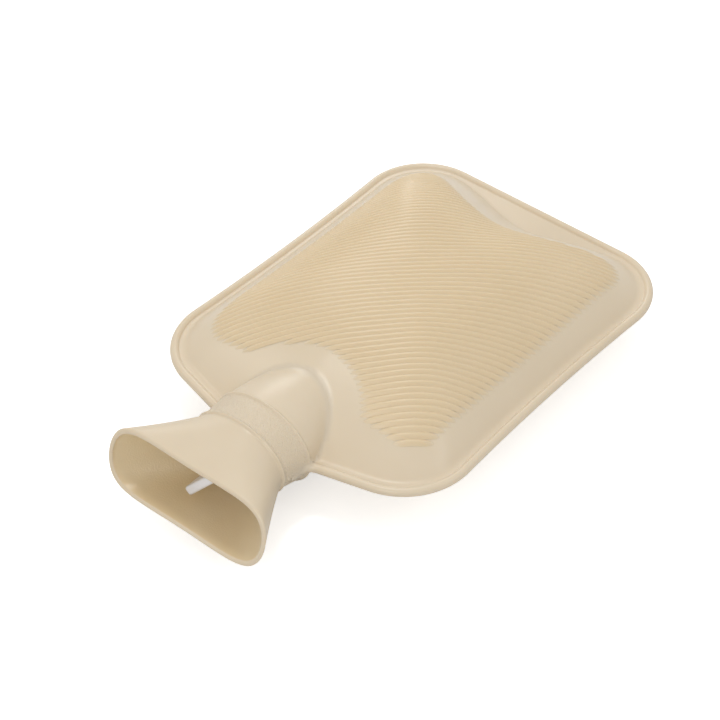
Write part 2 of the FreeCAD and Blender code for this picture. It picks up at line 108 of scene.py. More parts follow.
# Forms of bag and neck, in millimetres; web, mouth, hood and curl are fitted closer than in the solids
bagForm = {
    "seam": 28.0, "far": 156.936, "length": 259.5, "width": 200.0,
    "shoulderAngle": 14.5, "shoulderRadius": 43.0, "farRadius": 40.0, "sideBow": 4.2,
    "bead": 5.2, "web": 2.0, "hangingWeb": 14.0, "hangingSpan": 62.0,
    "rise": 35.0, "drop": 36.0, "fullness": 2.8, "crest": 121.0, "footInset": 6.9,
    "neckCurl": 8.0, "curlInside": 31.0, "stub": 5.0,
    "footFillet": 1.1, "beadFillet": 0.3, "restFillet": 5.0,
}
neckForm = {
    "mouth": -153.6, "mouthWidth": 105.8, "mouthHeight": 38.9, "tilt": 15.1, "lip": 1.0,
    "collarOuter": -110.864, "collarInner": -92.364, "width": 63.2, "height": 49.2,
    "throatWidth": 59.8, "throatHeight": 44.2, "rise": 4.4, "flare": 1.06,
    "hoodLength": 52.0, "hoodRise": 2.0, "hoodPower": 1.6, "hoodSpread": 0.04, "noseRise": 6.5,
    "nosePower": 1.5, "ridge": 1.1, "ridgeWidth": 2.8, "ridgeFullness": 0.8,
    "wall": 2.6, "floor": -117.864, "floorRadius": 18.6, "fillet": 3.0,
}
seam = bagForm["seam"]
halfWidth = bagForm["width"] / 2
slope = math.radians(bagForm["shoulderAngle"])
farY = bagForm["far"]
shoulderY = farY - bagForm["length"]
crestY = farY - bagForm["crest"]
beadRadius = bagForm["bead"] / 2


def arcPoints(centre, radius, start, end, count):
    angles = np.linspace(start, end, count, endpoint=False)
    return [(centre[0] + radius * math.cos(a), centre[1] + radius * math.sin(a)) for a in angles]


def linePoints(start, end, count):
    return [tuple(np.array(start) + (np.array(end) - np.array(start)) * i / count) for i in range(count)]


# Points on each stretch of the edge's right half
edgeSteps = {
    "stubEnd": 20, "stubSide": 5, "curl": 16, "shoulder": 16,
    "nearCorner": 36, "side": 64, "farCorner": 36, "farEdge": 28,
}


# Right half of the outside edge, from the neck's side round to the far edge's middle
def bagOutline():
    near, far, bow = bagForm["shoulderRadius"], bagForm["farRadius"], bagForm["sideBow"]
    cornerY = shoulderY + halfWidth * math.tan(slope)
    sideChord = farY - cornerY
    sideRadius = (sideChord ** 2 / 4 + bow ** 2) / (2 * bow)
    sideCentre = np.array((halfWidth - bow + sideRadius, (farY + cornerY) / 2))
    # Far corner, an arc that runs into the bowed side and the straight far edge
    farCentreY = farY - far
    reach = math.sqrt((sideRadius + far) ** 2 - (farCentreY - sideCentre[1]) ** 2)
    farCentre = np.array((sideCentre[0] - reach, farCentreY))
    toSideFar = math.atan2(sideCentre[1] - farCentre[1], sideCentre[0] - farCentre[0])
    farSide = farCentre + far * np.array((math.cos(toSideFar), math.sin(toSideFar)))
    # Near corner, an arc that runs into the sloping shoulder and the side
    along = np.array((math.cos(slope), math.sin(slope)))
    inward = np.array((-math.sin(slope), math.cos(slope)))
    start = np.array((0, shoulderY)) + inward * near
    gap = start - sideCentre
    middle = -gap.dot(along)
    nearCentre = start + along * (middle - math.sqrt(middle ** 2 - gap.dot(gap) + (sideRadius + near) ** 2))
    toSideNear = math.atan2(sideCentre[1] - nearCentre[1], sideCentre[0] - nearCentre[0])
    nearSide = nearCentre + near * np.array((math.cos(toSideNear), math.sin(toSideNear)))
    # Curl into the neck, with a stub of the edge hidden inside it
    curl, inside = bagForm["neckCurl"], bagForm["curlInside"]
    curlX = inside + curl
    curlY = shoulderY + curlX * math.tan(slope) - curl / math.cos(slope)
    stubY = curlY - bagForm["stub"]
    curlEnd = (curlX - curl * math.sin(slope), curlY + curl * math.cos(slope))
    points = linePoints((0, stubY), (inside, stubY), edgeSteps["stubEnd"])
    points += linePoints((inside, stubY), (inside, curlY), edgeSteps["stubSide"])
    points += arcPoints((curlX, curlY), curl, math.pi, math.pi / 2 + slope, edgeSteps["curl"])
    points += linePoints(curlEnd, nearCentre - inward * near, edgeSteps["shoulder"])
    points += arcPoints(nearCentre, near, -math.pi / 2 + slope, toSideNear, edgeSteps["nearCorner"])
    sideTurn = [math.atan2(*(place - sideCentre)[::-1]) % (2 * math.pi) for place in (nearSide, farSide)]
    points += arcPoints(sideCentre, sideRadius, *sideTurn, edgeSteps["side"])
    points += arcPoints(farCentre, far, toSideFar, math.pi / 2, edgeSteps["farCorner"])
    points += linePoints((farCentre[0], farY), (0, farY), edgeSteps["farEdge"])
    return points


rightEdge = bagOutline()
leftEdge = [(-x, y) for x, y in reversed(rightEdge[1:])]
outline = np.array(rightEdge + [(0.0, farY)] + leftEdge)


# Least distance from each point to a closed line of many corners, below zero inside it
def distanceTo(line, points):
    best = np.full(len(points), 1e9)
    inside = np.zeros(len(points), bool)
    px, py = points[:, 0], points[:, 1]
    for (ax, ay), (bx, by) in zip(line, np.roll(line, -1, axis=0)):
        dx, dy = bx - ax, by - ay
        t = np.clip(((px - ax) * dx + (py - ay) * dy) / max(dx * dx + dy * dy, 1e-12), 0, 1)
        best = np.minimum(best, (px - ax - t * dx) ** 2 + (py - ay - t * dy) ** 2)
        if ay != by:
            crosses = ((ay > py) != (by > py)) & (px < (bx - ax) * (py - ay) / (by - ay) + ax)
            inside ^= crosses
    best = np.sqrt(best)
    return np.where(inside, -best, best)


# Values kept on a fine grid over the ground and read between its points
class PlanMap:
    def __init__(self, low, high, step, rule):
        self.low, self.step = np.array(low, float), step
        self.xs = np.arange(low[0], high[0] + step, step)
        self.ys = np.arange(low[1], high[1] + step, step)
        gx, gy = np.meshgrid(self.xs, self.ys, indexing="ij")
        self.values = rule(np.column_stack((gx.ravel(), gy.ravel()))).reshape(gx.shape)

    def at(self, x, y):
        u = np.clip((x - self.low[0]) / self.step, 0, len(self.xs) - 1.001)
        v = np.clip((y - self.low[1]) / self.step, 0, len(self.ys) - 1.001)
        i, j = u.astype(int), v.astype(int)
        fu, fv = u - i, v - j
        c = self.values
        return (
            c[i, j] * (1 - fu) * (1 - fv) + c[i + 1, j] * fu * (1 - fv)
            + c[i, j + 1] * (1 - fu) * fv + c[i + 1, j + 1] * fu * fv
        )


# Distance to the edge anywhere over the ground that the bag covers
edgeRange = {"low": (-112, -126), "high": (112, 172), "step": 0.7}
edgeMap = PlanMap(edgeRange["low"], edgeRange["high"], edgeRange["step"], lambda p: distanceTo(outline, p))
print("outline mapped")


# How finely the swell's reach is traced
swellTrace = {"directions": 1441, "furthest": 190.0, "halvings": 20, "smoothing": 41}


# Reach of the swell from its crest in every direction: to the edge, or less where the web is left for hanging
def footOfSwell():
    right = [p for p in rightEdge if p[0] > bagForm["curlInside"] + bagForm["neckCurl"]]
    left = [(-x, y) for x, y in reversed(right)]
    plain = np.array([(0.0, shoulderY)] + right + [(0.0, farY)] + left)
    angles = np.linspace(-math.pi, math.pi, swellTrace["directions"])
    aim = np.column_stack((np.cos(angles), np.sin(angles)))
    low, high = np.zeros(len(angles)), np.full(len(angles), swellTrace["furthest"])
    for _ in range(swellTrace["halvings"]):
        middle = (low + high) / 2
        inside = distanceTo(plain, aim * middle[:, None] + np.array((0, crestY))) < -bagForm["footInset"]
        low, high = np.where(inside, middle, low), np.where(inside, high, middle)
    x = aim[:, 0] * low
    hollow = np.maximum(0, 1 - (x / bagForm["hangingSpan"]) ** 2) ** 2 * (aim[:, 1] > 0)
    reach = low - bagForm["hangingWeb"] * hollow * aim[:, 1]
    kernel = np.hanning(swellTrace["smoothing"])
    beyond = swellTrace["smoothing"] // 2
    ringed = np.concatenate((reach[-beyond - 1:-1], reach, reach[1:beyond + 1]))
    return angles, np.convolve(ringed, kernel / kernel.sum(), mode="valid")


footAngles, footReach = footOfSwell()


# Share of a face's rise over a point: 1 at the crest and 0 at the seam
def swell(x, y):
    share = np.hypot(x, y - crestY) / np.interp(np.arctan2(y - crestY, x), footAngles, footReach)
    return 1 - share ** bagForm["fullness"]


def topHeight(x, y):
    return seam + bagForm["rise"] * swell(x, y)


def baseHeight(x, y):
    free = seam - bagForm["drop"] * swell(x, y)
    return -smoothUnion(-free, np.zeros_like(free), bagForm["restFillet"])


# How steep a height's surface stands over each point
def steepness(rule, x, y, height, step=0.5):
    return np.hypot(rule(x + step, y) - height, rule(x, y + step) - height) / step


# Rough distance to the bag without its neck: swell, web and bead, with their small fillets
def bodyDistance(p):
    x, y, z = p[:, 0], p[:, 1], p[:, 2]
    top, base = topHeight(x, y), baseHeight(x, y)
    overTop = (z - top) / np.sqrt(1 + steepness(topHeight, x, y, top) ** 2)
    underBase = (base - z) / np.sqrt(1 + steepness(baseHeight, x, y, base) ** 2)
    edge = edgeMap.at(x, y)
    plate = np.maximum(np.abs(z - seam) - bagForm["web"] / 2, edge + beadRadius)
    bead = np.hypot(edge + beadRadius, z - seam) - beadRadius
    pillow = smoothUnion(np.maximum(overTop, underBase), plate, bagForm["footFillet"])
    return smoothUnion(pillow, bead, bagForm["beadFillet"])


# Half width, half height and middle's height of the neck at places along it, ridges included
def neckHalves(y):
    outer, inner = neckForm["collarOuter"], neckForm["collarInner"]
    t = np.clip((inner - y) / (inner - outer), 0, 1.5)
    w = neckForm["width"] / 2 + (neckForm["throatWidth"] - neckForm["width"]) / 2 * t
    h = neckForm["height"] / 2 + (neckForm["throatHeight"] - neckForm["height"]) / 2 * t
    for place in (outer, inner):
        u = np.clip(np.abs(y - place) / (neckForm["ridgeWidth"] / 2), 0, 1)
        lift = neckForm["ridge"] * (0.5 + 0.5 * np.cos(math.pi * u)) ** neckForm["ridgeFullness"]
        w, h = w + lift, h + lift
    ahead = np.clip((y - inner) / neckForm["hoodLength"], 0, 1.1)
    w = w * (1 + neckForm["hoodSpread"] * ahead)
    rise = neckForm["hoodRise"] + neckForm["noseRise"] * ahead ** neckForm["nosePower"]
    rise = rise + (neckForm["rise"] - neckForm["hoodRise"]) * np.clip(t, 0, 1)
    return w, h, seam + rise


# Rough distance to the neck and hood, drawn out beyond the collar to the hood's nose
def neckDistance(p):
    x, y, z = p[:, 0], p[:, 1], p[:, 2]
    w, h, axis = neckHalves(y)
    z = z - axis
    power, length = neckForm["hoodPower"], neckForm["hoodLength"]
    along = np.maximum(1e-6, y - neckForm["collarInner"]) / length
    k = np.sqrt((x / w) ** 2 + (z / h) ** 2 + along ** power) + 1e-9
    forward = power / 2 * along ** (power - 1) / length
    pull = np.sqrt((x / w ** 2) ** 2 + (z / h ** 2) ** 2 + forward ** 2) / k
    return (k - 1) / (pull + 1e-9)


# Half width, half height and middle's height at one place
def neckAt(y):
    return (float(value[0]) for value in neckHalves(np.array([y])))


def wholeDistance(p):
    return smoothUnion(bodyDistance(p), neckDistance(p), neckForm["fillet"])


# Moves points along their outward directions until they lie on the whole bottle's skin
def settle(points, outward, low, high, halvings=22):
    lowT = np.full(len(points), float(low))
    highT = np.full(len(points), float(high))
    for _ in range(halvings):
        middle = (lowT + highT) / 2
        inside = wholeDistance(points + outward * middle[:, None]) < 0
        lowT, highT = np.where(inside, middle, lowT), np.where(inside, highT, middle)
    return points + outward * ((lowT + highT) / 2)[:, None]


# Field of ribs: its edge and lines in millimetres, and in metres the cast that sets the ribs down
ribSet = {
    "pitch": 3.45, "height": 1.08, "root": 0.1, "angle": 43.5, "crown": 0.65,
    "endLength": 7.0, "sunk": 0.15, "overlap": 1.08, "profilePoints": 13,
    "castFrom": 0.3, "castLength": 1.0,
    "halfWidth": 78.3, "far": 136.94, "near": -61.56, "corner": 18.0,
    "dipDepth": 23.0, "dipRadius": 84.0, "lobe": 10.0, "hoodClear": 46.2, "hoodClearInset": 5.0,
    "mostToSide": 45, "shortest": 12.0, "inset": 0.3,
    "endSpots": (0, 0.5, 1.2, 2.1, 3.2, 4.5), "step": 2.4, "scanReach": 150, "scan": 0.2,
    "guideX": (-86, 86.1, 2.0), "guideY": (-84, 146.1, 2.0),
}


# Distance to the field's edge, below zero on the ribs: a rounded block less the dip and the hood's ring
def fieldDistance(p):
    x, y = np.abs(p[:, 0]), p[:, 1]
    radius = ribSet["corner"]
    middle = (ribSet["far"] + ribSet["near"]) / 2
    qx = x - (ribSet["halfWidth"] - radius)
    qy = np.abs(y - middle) - ((ribSet["far"] - ribSet["near"]) / 2 - radius)
    block = np.hypot(np.maximum(qx, 0), np.maximum(qy, 0)) + np.minimum(np.maximum(qx, qy), 0) - radius
    dipCentre = ribSet["far"] - ribSet["dipDepth"] + ribSet["dipRadius"]
    dip = ribSet["dipRadius"] - np.hypot(x, y - dipCentre)
    hood = ribSet["hoodClear"] - np.hypot(x, y - (neckForm["collarInner"] + ribSet["hoodClearInset"]))
    return np.maximum(-smoothUnion(-block, -dip, ribSet["lobe"]), hood)


# Points along every rib, more closely spaced at its two ends
def ribLines():
    angle = math.radians(ribSet["angle"])
    along = np.array((math.cos(angle), math.sin(angle)))
    across = np.array((math.sin(angle), -math.cos(angle)))
    middle = np.array((0, (ribSet["near"] + ribSet["far"]) / 2))
    scan, reach, most = ribSet["scan"], ribSet["scanReach"], ribSet["mostToSide"]
    near = np.array(ribSet["endSpots"][:-1])
    last = ribSet["endSpots"][-1]
    fine = np.arange(-reach, reach, scan)
    lines = []
    for k in range(-most, most + 1):
        origin = middle + across * k * ribSet["pitch"]
        inside = fieldDistance(origin + along * fine[:, None]) < -ribSet["inset"]
        changes = np.flatnonzero(np.diff(inside.astype(int)))
        for start in [i + 1 for i in changes if not inside[i]]:
            ends = [i for i in changes if inside[i] and i >= start]
            if not ends or (ends[0] - start) * scan < ribSet["shortest"]:
                continue
            t0, t1 = fine[start], fine[ends[0]]
            count = max(2, int((t1 - t0 - 2 * last) / ribSet["step"]) + 1)
            inner = np.linspace(t0 + last, t1 - last, count)
            ts = np.concatenate((t0 + near, inner, (t1 - near)[::-1]))
            lines.append(origin + along * ts[:, None])
    return lines


def lineObject(name, lines):
    curve = bpy.data.curves.new(name, "CURVE")
    curve.dimensions = "3D"
    for line in lines:
        spline = curve.splines.new("POLY")
        spline.points.add(len(line) - 1)
        for point, (x, y) in zip(spline.points, line):
            point.co = (x * mm, y * mm, 0, 1)
    return addPiece(name, curve)


# Sheet in the form of the upper face, on which the ribs are set down
def guideObject():
    xs, ys = np.arange(*ribSet["guideX"]), np.arange(*ribSet["guideY"])
    gx, gy = np.meshgrid(xs, ys, indexing="ij")
    gz = topHeight(gx, gy)
    points = np.column_stack((gx.ravel(), gy.ravel(), gz.ravel()))
    n = len(ys)
    faces = [(i * n + j, (i + 1) * n + j, (i + 1) * n + j + 1, i * n + j + 1)
             for i in range(len(xs) - 1) for j in range(n - 1)]
    return addPiece("ribGuide", meshFrom("ribGuide", points, faces))


# Short hand for laying out nodes, with a value or a link for each input
class Sheet:
    def __init__(self, tree):
        self.nodes, self.links = tree.nodes, tree.links

    def fill(self, node, inputs):
        for key, value in inputs.items():
            if isinstance(value, bpy.types.NodeSocket):
                self.links.new(value, node.inputs[key])
            else:
                node.inputs[key].default_value = value

    def node(self, kind, inputs=None, **settings):
        node = self.nodes.new(kind)
        for key, value in settings.items():
            setattr(node, key, value)
        self.fill(node, inputs or {})
        return node

    def sum(self, operation, *values):
        return self.node("ShaderNodeMath", dict(enumerate(values)), operation=operation).outputs[0]

    def vector(self, x, y=0.0, z=0.0):
        return self.node("ShaderNodeCombineXYZ", {0: x, 1: y, 2: z}).outputs[0]


class GeometrySheet(Sheet):
    def __init__(self, name):
        self.group = bpy.data.node_groups.new(name, "GeometryNodeTree")
        for way in ("INPUT", "OUTPUT"):
            self.group.interface.new_socket("Geometry", in_out=way, socket_type="NodeSocketGeometry")
        super().__init__(self.group)
        self.enter = self.node("NodeGroupInput")
        self.leave = self.node("NodeGroupOutput")

    def ask(self, name, kind, value=None):
        socket = self.group.interface.new_socket(name, in_out="INPUT", socket_type=kind)
        if value is not None:
            socket.default_value = value
        return socket.identifier


def ribTree():
    tree = GeometrySheet("ribSweep")
    ids = {
        "guide": tree.ask("Guide", "NodeSocketObject"),
        "width": tree.ask("Rib width", "NodeSocketFloat", 0.00345),
        "height": tree.ask("Rib height", "NodeSocketFloat", 0.001),
        "root": tree.ask("Root height", "NodeSocketFloat", 0.0002),
        "crown": tree.ask("Crown power", "NodeSocketFloat", 0.8),
        "endLength": tree.ask("End length", "NodeSocketFloat", 0.005),
        "endDrop": tree.ask("End drop", "NodeSocketFloat", 0.001),
        "finish": tree.ask("Finish", "NodeSocketMaterial"),
    }
    asked = tree.enter.outputs
    # Profile: a low rounded wave, a little wider than the pitch so that neighbours meet
    half = tree.sum("MULTIPLY", asked["Rib width"], 0.5)
    wide = tree.sum("MULTIPLY", half, ribSet["overlap"])
    left = tree.vector(tree.sum("MULTIPLY", wide, -1.0))
    line = tree.node("GeometryNodeCurvePrimitiveLine", {0: left, 1: tree.vector(wide)})
    profile = tree.node("GeometryNodeResampleCurve", {
        "Curve": line.outputs[0], "Count": ribSet["profilePoints"],
    })
    place = tree.node("GeometryNodeInputPosition").outputs[0]
    sideways = tree.node("ShaderNodeSeparateXYZ", {0: place}).outputs[0]
    share = tree.sum("DIVIDE", sideways, half)
    wave = tree.sum("COSINE", tree.sum("MULTIPLY", share, math.pi))
    crown = tree.sum("POWER", tree.sum("MULTIPLY_ADD", wave, 0.5, 0.5), asked["Crown power"])
    lift = tree.sum("MULTIPLY", asked["Rib height"], crown)
    # The sweep turns its profile's heights downward, so they are counted below zero
    fall = tree.sum("SUBTRACT", tree.sum("MULTIPLY", lift, -1.0), asked["Root height"])
    profile = tree.node("GeometryNodeSetPosition", {
        "Geometry": profile.outputs[0], "Position": tree.vector(sideways, fall),
    })
    # Share of a rib's height along it, which falls away towards both ends
    run = tree.node("GeometryNodeSplineParameter").outputs["Length"]
    total = tree.node("GeometryNodeSplineLength").outputs["Length"]
    fromEnd = tree.sum("MINIMUM", run, tree.sum("SUBTRACT", total, run))
    part = tree.node("ShaderNodeClamp", {"Value": tree.sum("DIVIDE", fromEnd, asked["End length"])})
    rest = tree.sum("SUBTRACT", 1.0, part.outputs[0])
    full = tree.sum("SUBTRACT", 1.0, tree.sum("MULTIPLY", rest, rest))
    tapered = tree.node("GeometryNodeCaptureAttribute", {"Geometry": asked["Geometry"]})
    tapered.capture_items.new("FLOAT", "Share")
    tree.fill(tapered, {"Share": full})
    ribShare = tapered.outputs["Share"]
    upright = tree.node("GeometryNodeSetCurveNormal", {"Curve": tapered.outputs["Geometry"]}, mode="Z_UP")
    swept = tree.node("GeometryNodeCurveToMesh", {
        "Curve": upright.outputs[0], "Profile Curve": profile.outputs[0],
    })
    # Set each point down on the face below it
    spot = tree.node("GeometryNodeInputPosition").outputs[0]
    x, y, z = tree.node("ShaderNodeSeparateXYZ", {0: spot}).outputs
    guide = tree.node("GeometryNodeObjectInfo", {"Object": asked["Guide"]})
    cast = tree.node("GeometryNodeRaycast", {
        "Target Geometry": guide.outputs["Geometry"], "Source Position": tree.vector(x, y, ribSet["castFrom"]),
        "Ray Direction": (0, 0, -1), "Ray Length": ribSet["castLength"],
    })
    found = tree.node("ShaderNodeSeparateXYZ", {0: cast.outputs["Hit Position"]}).outputs[2]
    drop = tree.sum("MULTIPLY", tree.sum("SUBTRACT", ribShare, 1.0), asked["End drop"])
    height = tree.sum("ADD", found, tree.sum("ADD", z, drop))
    laid = tree.node("GeometryNodeSetPosition", {
        "Geometry": swept.outputs[0], "Position": tree.vector(x, y, height),
    })
    marked = tree.node("GeometryNodeStoreNamedAttribute", {
        "Geometry": laid.outputs[0], "Name": "ribShare", "Value": ribShare,
    }, data_type="FLOAT", domain="POINT")
    turned = tree.node("GeometryNodeFlipFaces", {"Mesh": marked.outputs[0]})
    smooth = tree.node("GeometryNodeSetShadeSmooth", {"Geometry": turned.outputs[0]})
    real = tree.node("GeometryNodeRealizeInstances", {"Geometry": smooth.outputs[0]})
    coated = tree.node("GeometryNodeSetMaterial", {"Geometry": real.outputs[0], "Material": asked["Finish"]})
    tree.fill(tree.leave, {0: coated.outputs[0]})
    return tree.group, ids


# A material's nodes, with what several finishes share
class Finish(Sheet):
    def __init__(self, name):
        self.material = bpy.data.materials.new(name)
        self.material.use_nodes = True
        super().__init__(self.material.node_tree)
        self.shader = next(n for n in self.nodes if n.type == "BSDF_PRINCIPLED")

    def noise(self, spot, scale, detail=2):
        inputs = {"Vector": spot, "Scale": scale, "Detail": detail}
        return self.node("ShaderNodeTexNoise", inputs).outputs["Fac"]

    def ramp(self, share, colours, ends=(0, 1)):
        ramp = self.node("ShaderNodeValToRGB", {"Fac": share})
        for element, colour, end in zip(ramp.color_ramp.elements, colours, ends):
            element.position = end
            element.color = (*colour, 1)
        return ramp.outputs["Color"]

    def mark(self, name):
        return self.node("ShaderNodeAttribute", attribute_name=name).outputs["Fac"]

    def bump(self, height, strength, distance):
        inputs = {"Height": height, "Strength": strength, "Distance": distance}
        return self.node("ShaderNodeBump", inputs).outputs["Normal"]


# Colours run between two shades over soft clouds; the ribbed shades and the inside tint are painted bounce
# light and shade
rubberLook = {
    "smooth": ((0.690, 0.577, 0.418), (0.730, 0.620, 0.465)),
    "ribbed": ((0.705, 0.560, 0.358), (0.745, 0.602, 0.400)),
    "washer": ((0.10, 0.09, 0.08), (0.15, 0.13, 0.12)),
    # inside: painted bounce light and shade, a warm tint multiplied into the funnel's inside
    "inside": (1.0, 0.95, 0.80), "cloudScale": 14, "cloudDetail": 4, "cloudEnds": (0.3, 0.72),
    "roughness": 0.31, "smoother": 0.06, "rougher": 0.08, "sheen": 0.15, "sheenRoughness": 0.45,
    "grainScale": 1200, "grain": 0.5, "plainGrain": 0.02, "grainDepth": 0.0012,
    "subsurface": 0.12, "subsurfaceRadius": (1.0, 0.7, 0.4), "subsurfaceScale": 0.003,
}
plasticLook = {
    "colours": ((0.80, 0.79, 0.80), (0.86, 0.85, 0.86)), "cloudScale": 60, "roughness": 0.33,
    "fineScale": 900, "fine": 0.08, "fineDepth": 0.0002,
}
brassLook = {"colours": ((0.58, 0.42, 0.20), (0.70, 0.53, 0.28)), "cloudScale": 90, "roughness": 0.34}


# Rubber, with ribs that start in the margin's colour where one is given; the ribs' warmer shades are painted
# bounce light from their grooves
def makeRubber(name, colours, startColour=None):
    look = rubberLook
    finish = Finish(name)
    spot = finish.node("ShaderNodeTexCoord").outputs["Object"]
    cloud = finish.noise(spot, look["cloudScale"], look["cloudDetail"])
    base = finish.ramp(cloud, colours, look["cloudEnds"])
    # Painted bounce light: a rib's warmer shade grows from the margin's colour as the rib rises to full height
    if startColour:
        inputs = {0: finish.mark("ribShare"), 6: (*startColour, 1), 7: base}
        base = finish.node("ShaderNodeMix", inputs, data_type="RGBA").outputs[2]
    # Painted bounce light and shade: the funnel's inside is tinted yellower and a little darker, for light
    # bouncing in the hollow
    inputs = {0: finish.mark("inside"), 6: base, 7: (*look["inside"], 1)}
    insideBounceShade = finish.node("ShaderNodeMix", inputs, data_type="RGBA", blend_type="MULTIPLY").outputs[2]
    # Fine skin of the moulded rubber, stronger where the grain attribute says so
    fine = finish.noise(spot, look["grainScale"])
    strength = finish.sum("MULTIPLY_ADD", finish.mark("grain"), look["grain"], look["plainGrain"])
    normal = finish.bump(fine, strength, look["grainDepth"])
    rough = finish.node("ShaderNodeMapRange", {
        "Value": cloud, "To Min": look["roughness"] - look["smoother"],
        "To Max": look["roughness"] + look["rougher"],
    })
    finish.fill(finish.shader, {
        "Base Color": insideBounceShade, "Normal": normal, "Roughness": rough.outputs["Result"],
        "Sheen Weight": look["sheen"], "Sheen Roughness": look["sheenRoughness"],
        "Subsurface Weight": look["subsurface"], "Subsurface Radius": look["subsurfaceRadius"],
        "Subsurface Scale": look["subsurfaceScale"],
    })
    return finish.material


def makePlastic():
    look = plasticLook
    finish = Finish("whitePlastic")
    spot = finish.node("ShaderNodeTexCoord").outputs["Object"]
    colour = finish.ramp(finish.noise(spot, look["cloudScale"]), look["colours"])
    normal = finish.bump(finish.noise(spot, look["fineScale"]), look["fine"], look["fineDepth"])
    finish.fill(finish.shader, {"Base Color": colour, "Normal": normal, "Roughness": look["roughness"]})
    return finish.material


def makeBrass():
    look = brassLook
    finish = Finish("turnedBrass")
    spot = finish.node("ShaderNodeTexCoord").outputs["Object"]
    colour = finish.ramp(finish.noise(spot, look["cloudScale"]), look["colours"])
    finish.fill(finish.shader, {"Base Color": colour, "Metallic": 1.0, "Roughness": look["roughness"]})
    return finish.material


smoothRubber = makeRubber("smoothRubber", rubberLook["smooth"])
# Ribs in the same rubber, with warmer shades painted in for light bouncing in the grooves and through the
# rubber
ribbedRubber = makeRubber("ribbedRubber", rubberLook["ribbed"], rubberLook["smooth"][1])


# Faces between rings that follow one another
def ringFaces(rings, count, first=0, flip=False):
    faces = []
    for j in range(rings - 1):
        a = first + j * count
        b = a + count
        for i in range(count):
            k = (i + 1) % count
            face = (a + i, a + k, b + k, b + i)
            faces.append(face[::-1] if flip else face)
    return faces


# How deep one skin's faces may lie under the other, and how far they give way there
skinJoin = {"least": 1.0, "most": 3.0, "give": 0.16, "from": -0.3, "to": 0.5}


# Faces of one skin that don't lie under the other, with a little overlap where the two meet
def keptFaces(faces, depth):
    under = depth[np.array(faces)]
    kept = (under.min(axis=1) < skinJoin["least"]) & (under.max(axis=1) < skinJoin["most"])
    return [face for face, keep in zip(faces, kept) if keep]


# Where a skin lies under the other it gives way a little, so that only one of them shows
def giveWay(outward, depth):
    return outward * (skinJoin["give"] * smoothStep(skinJoin["from"], skinJoin["to"], depth))[:, None]


# Rings of the bag's skin, by their inset from the edge, and how far they may settle
shellForm = {
    "inset": 7.5, "spine": (-30, 92), "stubShare": 0.3, "slack": 0.01, "settle": (-4, 9),
    "faceRings": 76, "facePower": 1.15, "underRings": 26, "beadAngles": (130, -131, -13),
    "upperInsets": (6.9, 6.3, 5.8, 5.4, 5.1, 4.9, 4.7, 4.5),
    "lowerInsets": (4.6, 4.9, 5.3, 6.0, 6.8, 7.5),
}


# Body of the bag: rings from the crest out over margin and bead, and on below to the rest
def bodyShell():
    count = len(outline)
    ahead = np.roll(outline, -1, axis=0) - np.roll(outline, 1, axis=0)
    ahead /= np.linalg.norm(ahead, axis=1)[:, None]
    out = np.column_stack((ahead[:, 1], -ahead[:, 0]))
    spine = np.column_stack((np.zeros(count), np.clip(outline[:, 1], *shellForm["spine"])))
    insetStart = outline - out * shellForm["inset"]
    # The edge's start inside the neck keeps its order there
    inside = bagForm["curlInside"]
    curlTop = outline[:, 1].min() + bagForm["stub"]
    slack = shellForm["slack"]
    inStub = (np.abs(outline[:, 0]) <= inside + slack) & (outline[:, 1] <= curlTop + slack)
    narrow = outline[:, 0] * ((inside - shellForm["inset"]) / inside)
    short = curlTop + (outline[:, 1] - curlTop) * shellForm["stubShare"]
    insetStart[inStub] = np.column_stack((narrow, short))[inStub]
    webTop, webBase = seam + bagForm["web"] / 2, seam - bagForm["web"] / 2
    upward = np.array((0.0, 0.0, 1.0))
    rings, directions = [], []

    def lay(plan, z, direction):
        rings.append(np.column_stack((plan, np.broadcast_to(z, count))))
        directions.append(np.broadcast_to(direction, (count, 3)))

    for t in np.linspace(1, 0, shellForm["faceRings"]) ** shellForm["facePower"]:
        plan = insetStart + (spine - insetStart) * t
        lay(plan, np.maximum(topHeight(plan[:, 0], plan[:, 1]), webTop), upward)
    for inset in shellForm["upperInsets"]:
        lay(outline - out * inset, webTop, upward)
    for angle in np.radians(np.arange(*shellForm["beadAngles"])):
        plan = outline - out * (beadRadius - beadRadius * math.cos(angle))
        tube = np.column_stack((out * math.cos(angle), np.full(count, math.sin(angle))))
        lay(plan, seam + beadRadius * math.sin(angle), tube)
    for inset in shellForm["lowerInsets"]:
        lay(outline - out * inset, webBase, -upward)
    for t in np.linspace(0, 1, shellForm["underRings"])[1:]:
        plan = insetStart + (spine - insetStart) * t
        lay(plan, np.minimum(baseHeight(plan[:, 0], plan[:, 1]), webBase), -upward)
    outward = np.concatenate(directions)
    settled = settle(np.concatenate(rings), outward, *shellForm["settle"])
    settled -= giveWay(outward, bodyDistance(settled) - neckDistance(settled))
    depth = bodyDistance(settled) - neckDistance(settled)
    return settled, keptFaces(ringFaces(len(rings), count), depth)


# Poles of a quarter of the neck's oval and of the mouth's squarish section
ovalPoles = ((1.047, 0), (0.907, 0.524), (0.524, 0.907), (0, 1.047))
mouthPoles = ((1.05, 0), (0.987, 0.68), (0.763, 1.075), (0, 0.957))
aroundCount = 264


